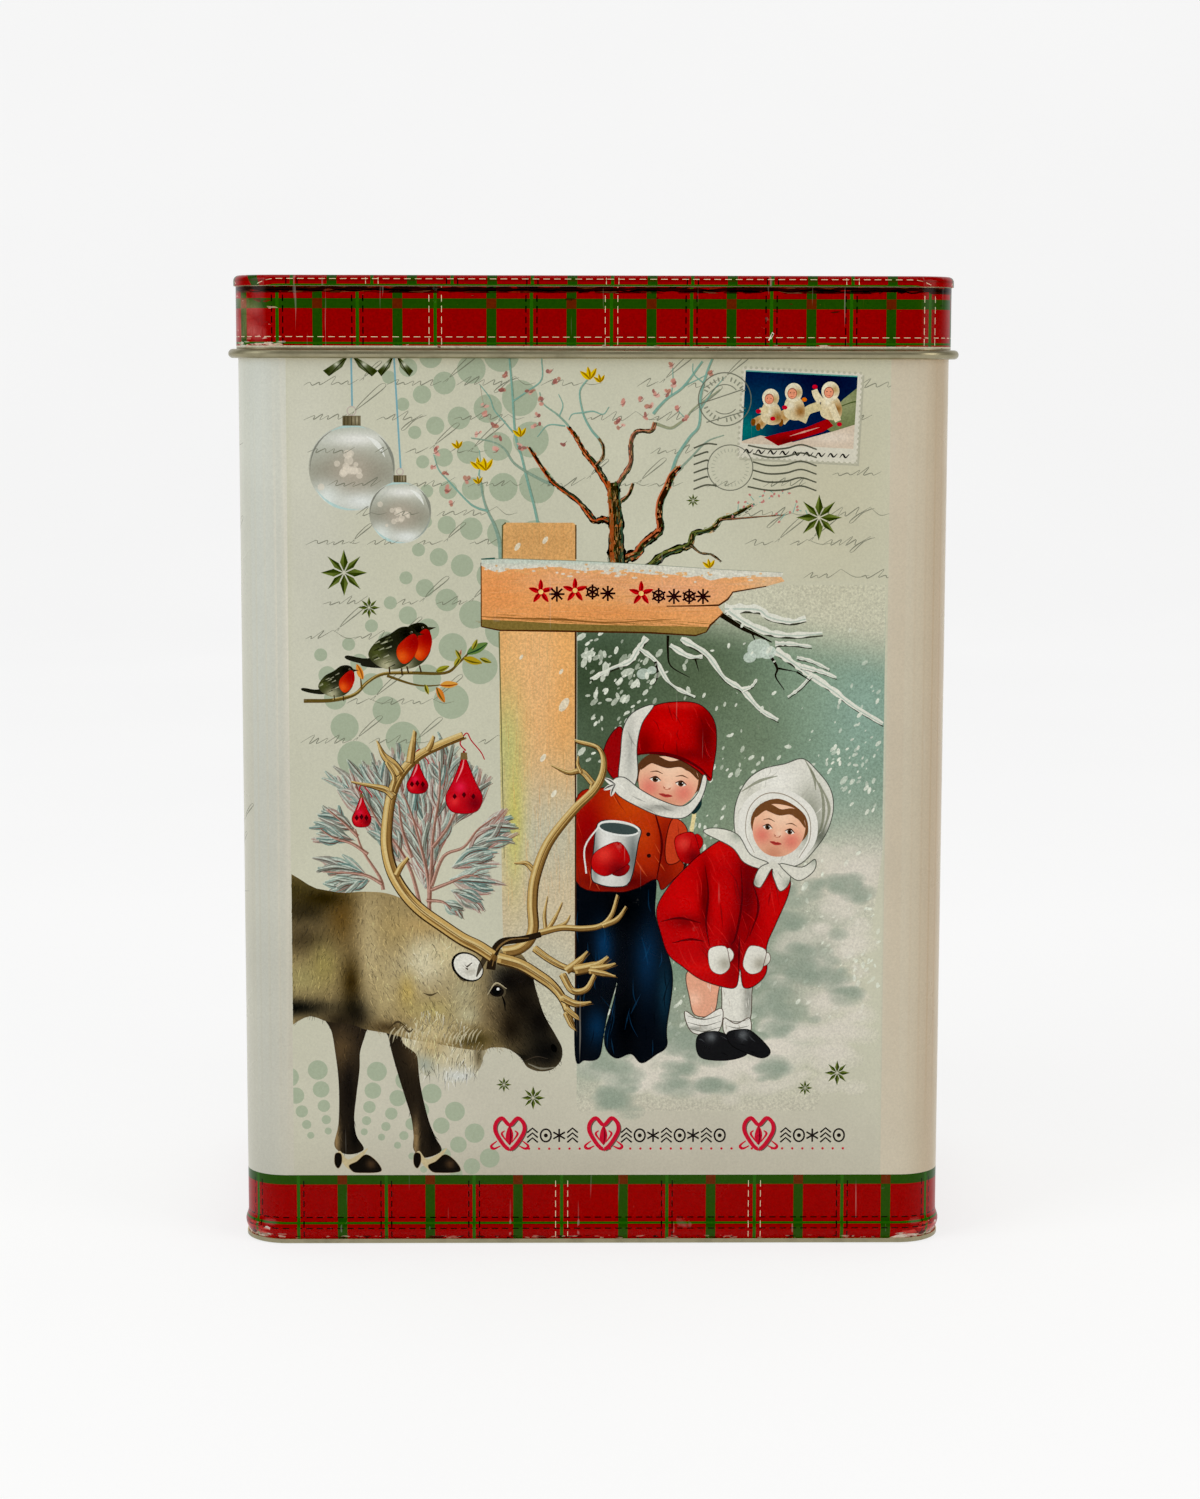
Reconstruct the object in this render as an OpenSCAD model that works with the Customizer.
// Tall rectangular cookie tin with a slip-over lid.
// Origin: centre of the footprint, on the surface it rests on. +Z up, the front faces -Y.

/* [Body] */
// Width of the body, across the front
body_w = 196; // [120:1:260]
// Depth of the body, front to back
body_d = 128; // [80:1:200]
// Height of the closed tin
total_h = 270; // [120:1:360]
// Radius of the four upright corners, outside
corner_r = 12; // [8:0.5:30]
// Thickness of the tinplate
sheet_t = 0.3; // [0.2:0.05:0.35]

/* [Lid] */
// Height of the lid, from its curl to its top
lid_h = 22.4; // [15:0.1:40]
// Clearance between the lid and the body, each side
lid_gap = 0.2; // [0.1:0.05:0.4]
// Diameter of the hollow curl along the lid's lower edge
curl_d = 2.5; // [2:0.1:4]
// Height of the top plate's turned-down skirt
skirt_h = 2.8; // [2.2:0.1:5]
// Radius of the shoulder between the top plate and its skirt
shoulder_r = 1.4; // [1:0.1:2]
// How far the skirt stands out from the lid's band
skirt_proud = 0.6; // [0.4:0.05:1]

/* [Base] */
// How far the base panel is recessed above the ground
base_recess = 3.5; // [2.5:0.1:6]
// Height of the bare seam rim under the body
rim_h = 1.26; // [1:0.02:2]
// How far the body swells out over the base seam
swell = 0.75; // [0:0.05:1.5]
// Height of the top of that swelling
swell_top = 7.6; // [6:0.1:12]

/* [Seams] */
// Diameter of the hem rolled inwards along the body's top edge
hem_d = 1.6; // [1.2:0.1:2.4]
// Width of the folded lock seam up the body
lock_w = 4; // [3:0.5:6]
// Width of the flange that carries the top plate
flange_w = 4; // [2:0.5:8]

/* [Hidden] */
$fn = 64;

// Gap left between two sheets that are folded together
fold_gap = 0.03;
// Gap left between the top plate and the band's flange
plate_gap = 0.03;
// Gap left between the lid and the body's hem when the tin is closed
rest_gap = 0.1;
// How far a curl sits inside the face of the sheet it is rolled from
curl_inset = 0.05;
// Slit between a curl's raw edge and the sheet
curl_slit = 0.12;
// Depth and width of the line that a seam leaves outside
seam_line = 0.12;
// Number of straight stretches in the swelling's outline
swell_steps = 14;

// Distances from the centre of an upright corner
band_in = corner_r + lid_gap;
band_out = band_in + sheet_t;
skirt_out = band_out + skirt_proud;

// Heights above the ground
curl_z = total_h - lid_h + curl_d/2;
flange_top = total_h - sheet_t - plate_gap;
hem_top = flange_top - sheet_t - rest_gap;
hem_z = hem_top - hem_d/2;
wall_z = sheet_t + fold_gap;

// Sweeps a section round the tin: x is measured outwards from the corner centres, y is height
module around() {
    for (side = [0:3]) {
        run = (side % 2 == 0 ? body_d : body_w) - 2*corner_r;
        reach = (side % 2 == 0 ? body_w : body_d)/2 - corner_r;
        rotate([0, 0, side*90]) translate([reach, 0, 0]) {
            rotate([90, 0, 0]) linear_extrude(run, center = true) children();
            translate([0, run/2, 0]) rotate_extrude(angle = 90) children();
        }
    }
}

// Fills the middle of a panel, inside the corner centres
module panel_middle(z) {
    translate([0, 0, z + sheet_t/2])
        cube([body_w - 2*corner_r, body_d - 2*corner_r, sheet_t], center = true);
}

// Section of a sheet bent through a quarter turn, up and to the right of its centre
module bend(r) {
    intersection() {
        difference() {
            circle(r);
            circle(r - sheet_t);
        }
        square(r);
    }
}

// Section of a sheet rolled into a hollow curl, with a slit at side (1 right, -1 left) of its centre
module curl(d, side) {
    difference() {
        circle(d/2);
        circle(d/2 - sheet_t);
        translate([side*(d/2 - sheet_t - curl_slit/2 + curl_inset), d/2])
            square([curl_slit, d], center = true);
    }
}

// How far the body's wall stands out at height z
function swell_at(z) =
    z < rim_h || z > swell_top ? 0 : swell*(1 - cos(360*(z - rim_h)/(swell_top - rim_h)))/2;

// Section of the body's wall, from inside the base seam up to the hem
module wall_section() {
    heights = [for (i = [0:swell_steps]) rim_h + (swell_top - rim_h)*i/swell_steps];
    levels = concat([wall_z], heights, [hem_z]);
    outside = [for (z = levels) [corner_r + swell_at(z), z]];
    inside = [for (i = [len(levels) - 1:-1:0]) outside[i] - [sheet_t, 0]];
    polygon(concat(outside, inside));
}

// Section of the base panel's edge, folded up round the foot of the body's wall
module fold_section() {
    left = corner_r - 2*sheet_t - fold_gap;
    right = corner_r + sheet_t + 4*fold_gap;
    bend_r = sheet_t + fold_gap;
    difference() {
        union() {
            translate([left, bend_r]) square([right - left, base_recess + sheet_t - bend_r]);
            translate([left + bend_r, 0]) square([right - left - 2*bend_r, bend_r]);
            translate([left + bend_r, bend_r]) circle(bend_r);
            translate([right - bend_r, bend_r]) circle(bend_r);
        }
        translate([left + sheet_t, sheet_t])
            square([right - left - 2*sheet_t, base_recess + sheet_t]);
        translate([left + sheet_t, rim_h])
            square([right - left, base_recess + sheet_t]);
    }
}

module body_shell() {
    lock_x = -body_w/2;
    lock_y = body_d/2 - corner_r - 2*lock_w;
    lock_foot = swell_top + 1;
    lock_h = hem_z - hem_d - lock_foot;
    color("ivory") difference() {
        union() {
            around() {
                wall_section();
                translate([corner_r - curl_inset - hem_d/2, hem_z]) curl(hem_d, 1);
            }
            translate([lock_x + sheet_t/2, lock_y, lock_foot])
                cube([1.5*sheet_t, lock_w, lock_h]);
        }
        translate([lock_x - sheet_t, lock_y, lock_foot])
            cube([sheet_t + seam_line, seam_line, lock_h]);
    }
}

module base_panel() {
    color("silver") {
        panel_middle(base_recess);
        around() {
            fold_section();
            translate([0, base_recess]) square([corner_r - sheet_t - fold_gap, sheet_t]);
        }
    }
}

module lid_band() {
    bend_r = sheet_t + 0.5;
    seam_y = body_d/2 - corner_r - 3*lock_w;
    color("firebrick") difference() {
        around() {
            translate([band_in, curl_z]) square([sheet_t, flange_top - bend_r - curl_z]);
            translate([band_out - bend_r, flange_top - bend_r]) bend(bend_r);
            translate([band_out - bend_r - flange_w, flange_top - sheet_t]) square([flange_w, sheet_t]);
            translate([band_in + curl_inset + curl_d/2, curl_z]) curl(curl_d, -1);
        }
        translate([-body_w/2 - lid_gap - 2*sheet_t, seam_y, curl_z + curl_d])
            cube([sheet_t + seam_line, seam_line, flange_top - bend_r - curl_z - curl_d]);
    }
}

module lid_top() {
    color("darkred") {
        panel_middle(total_h - sheet_t);
        around() {
            translate([0, total_h - sheet_t]) square([skirt_out - shoulder_r, sheet_t]);
            translate([skirt_out - shoulder_r, total_h - shoulder_r]) bend(shoulder_r);
            translate([skirt_out - sheet_t, total_h - skirt_h]) square([sheet_t, skirt_h - shoulder_r]);
        }
    }
}

body_shell();
base_panel();
lid_band();
lid_top();
